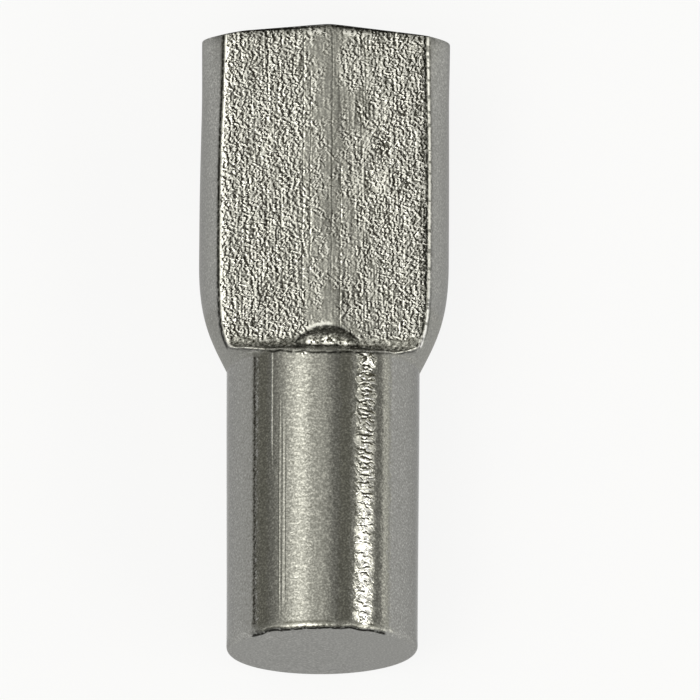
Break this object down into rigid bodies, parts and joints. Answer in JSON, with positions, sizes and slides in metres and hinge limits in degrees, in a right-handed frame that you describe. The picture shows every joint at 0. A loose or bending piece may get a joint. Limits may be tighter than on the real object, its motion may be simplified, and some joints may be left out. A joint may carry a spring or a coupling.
{
  "type": "shelf support pin",
  "caption": "One-piece nickel-plated steel shelf pin: a round plug for a hole in the cabinet's side and a wider flattened head that the shelf rests on.",
  "frame": {"origin": "on the plug's axis, in the plane where the head's shoulders leave the plug and meet the cabinet's side", "axes": "+Y along the pin's axis, from the plug towards the head; +Z is the outward normal of the flat that carries the shelf; +X goes across the head"},
  "size_m": [0.0064, 0.0166, 0.005],
  "materials": {
    "nickel": "bright nickel plate on steel, warm grey; smooth on the plug and flanks, grained on the pressed flats"
  },
  "bodies": {
    "root": {"shelf_pin": "nickel"}
  },
  "joints": []
}
